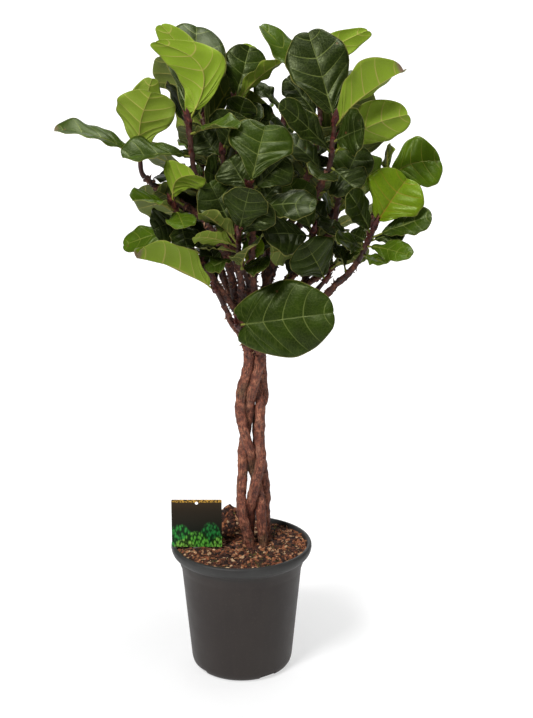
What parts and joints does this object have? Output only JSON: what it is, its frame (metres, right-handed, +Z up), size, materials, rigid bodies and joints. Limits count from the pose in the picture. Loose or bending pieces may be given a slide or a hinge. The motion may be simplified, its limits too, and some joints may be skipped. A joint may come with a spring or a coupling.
{
  "type": "potted fiddle leaf fig",
  "caption": "Standard fiddle leaf fig with a braided trunk, a round crown of large leathery leaves, a peat-filled nursery pot and a plain picture tag.",
  "frame": {"origin": "centre of the pot's flat base, at the height it stands on", "axes": "+Z up along the trunk, +Y away from the viewer, +X to the right as seen from the front"},
  "size_m": [0.6868, 0.4922, 1.2124],
  "materials": {
    "pot_plastic": "dark warm grey moulded plastic, satin to matte",
    "soil": "peat and bark chips, rough and dry",
    "tag_card": "printed plastic card with plain green motifs",
    "bark": "red-brown bark with pale pores and leaf scars",
    "leaf": "dark green waxy leaf with pale veins",
    "young_leaf": "lime green young leaf, softer sheen"
  },
  "bodies": {
    "root": {"plant_tag": "tag_card", "pot": "pot_plastic", "shoot_back_left_low": "leaf", "shoot_back_left_middle": "leaf", "shoot_back_left_top": "leaf", "shoot_back_middle": "leaf", "shoot_back_middle_low": "leaf", "shoot_back_middle_top": "leaf", "shoot_back_right_low": "leaf", "shoot_back_right_middle": "leaf", "shoot_back_right_top": "leaf", "shoot_back_top": "leaf", "shoot_bottom_front": "leaf", "shoot_front_lower": "leaf", "shoot_front_middle": "leaf", "shoot_front_right": "leaf", "shoot_front_top": "leaf", "shoot_inner_left": "leaf", "shoot_inner_low": "leaf", "shoot_left_lower": "young_leaf", "shoot_left_middle": "leaf", "shoot_left_top": "leaf", "shoot_left_upper": "young_leaf", "shoot_middle_top": "leaf", "shoot_right_back_top": "leaf", "shoot_right_inner": "leaf", "shoot_right_middle": "leaf", "shoot_right_top": "leaf", "shoot_right_upper": "leaf", "soil": "soil", "stem_back_left": "bark", "stem_back_right": "bark", "stem_left": "bark", "stem_right": "bark"}
  },
  "joints": []
}
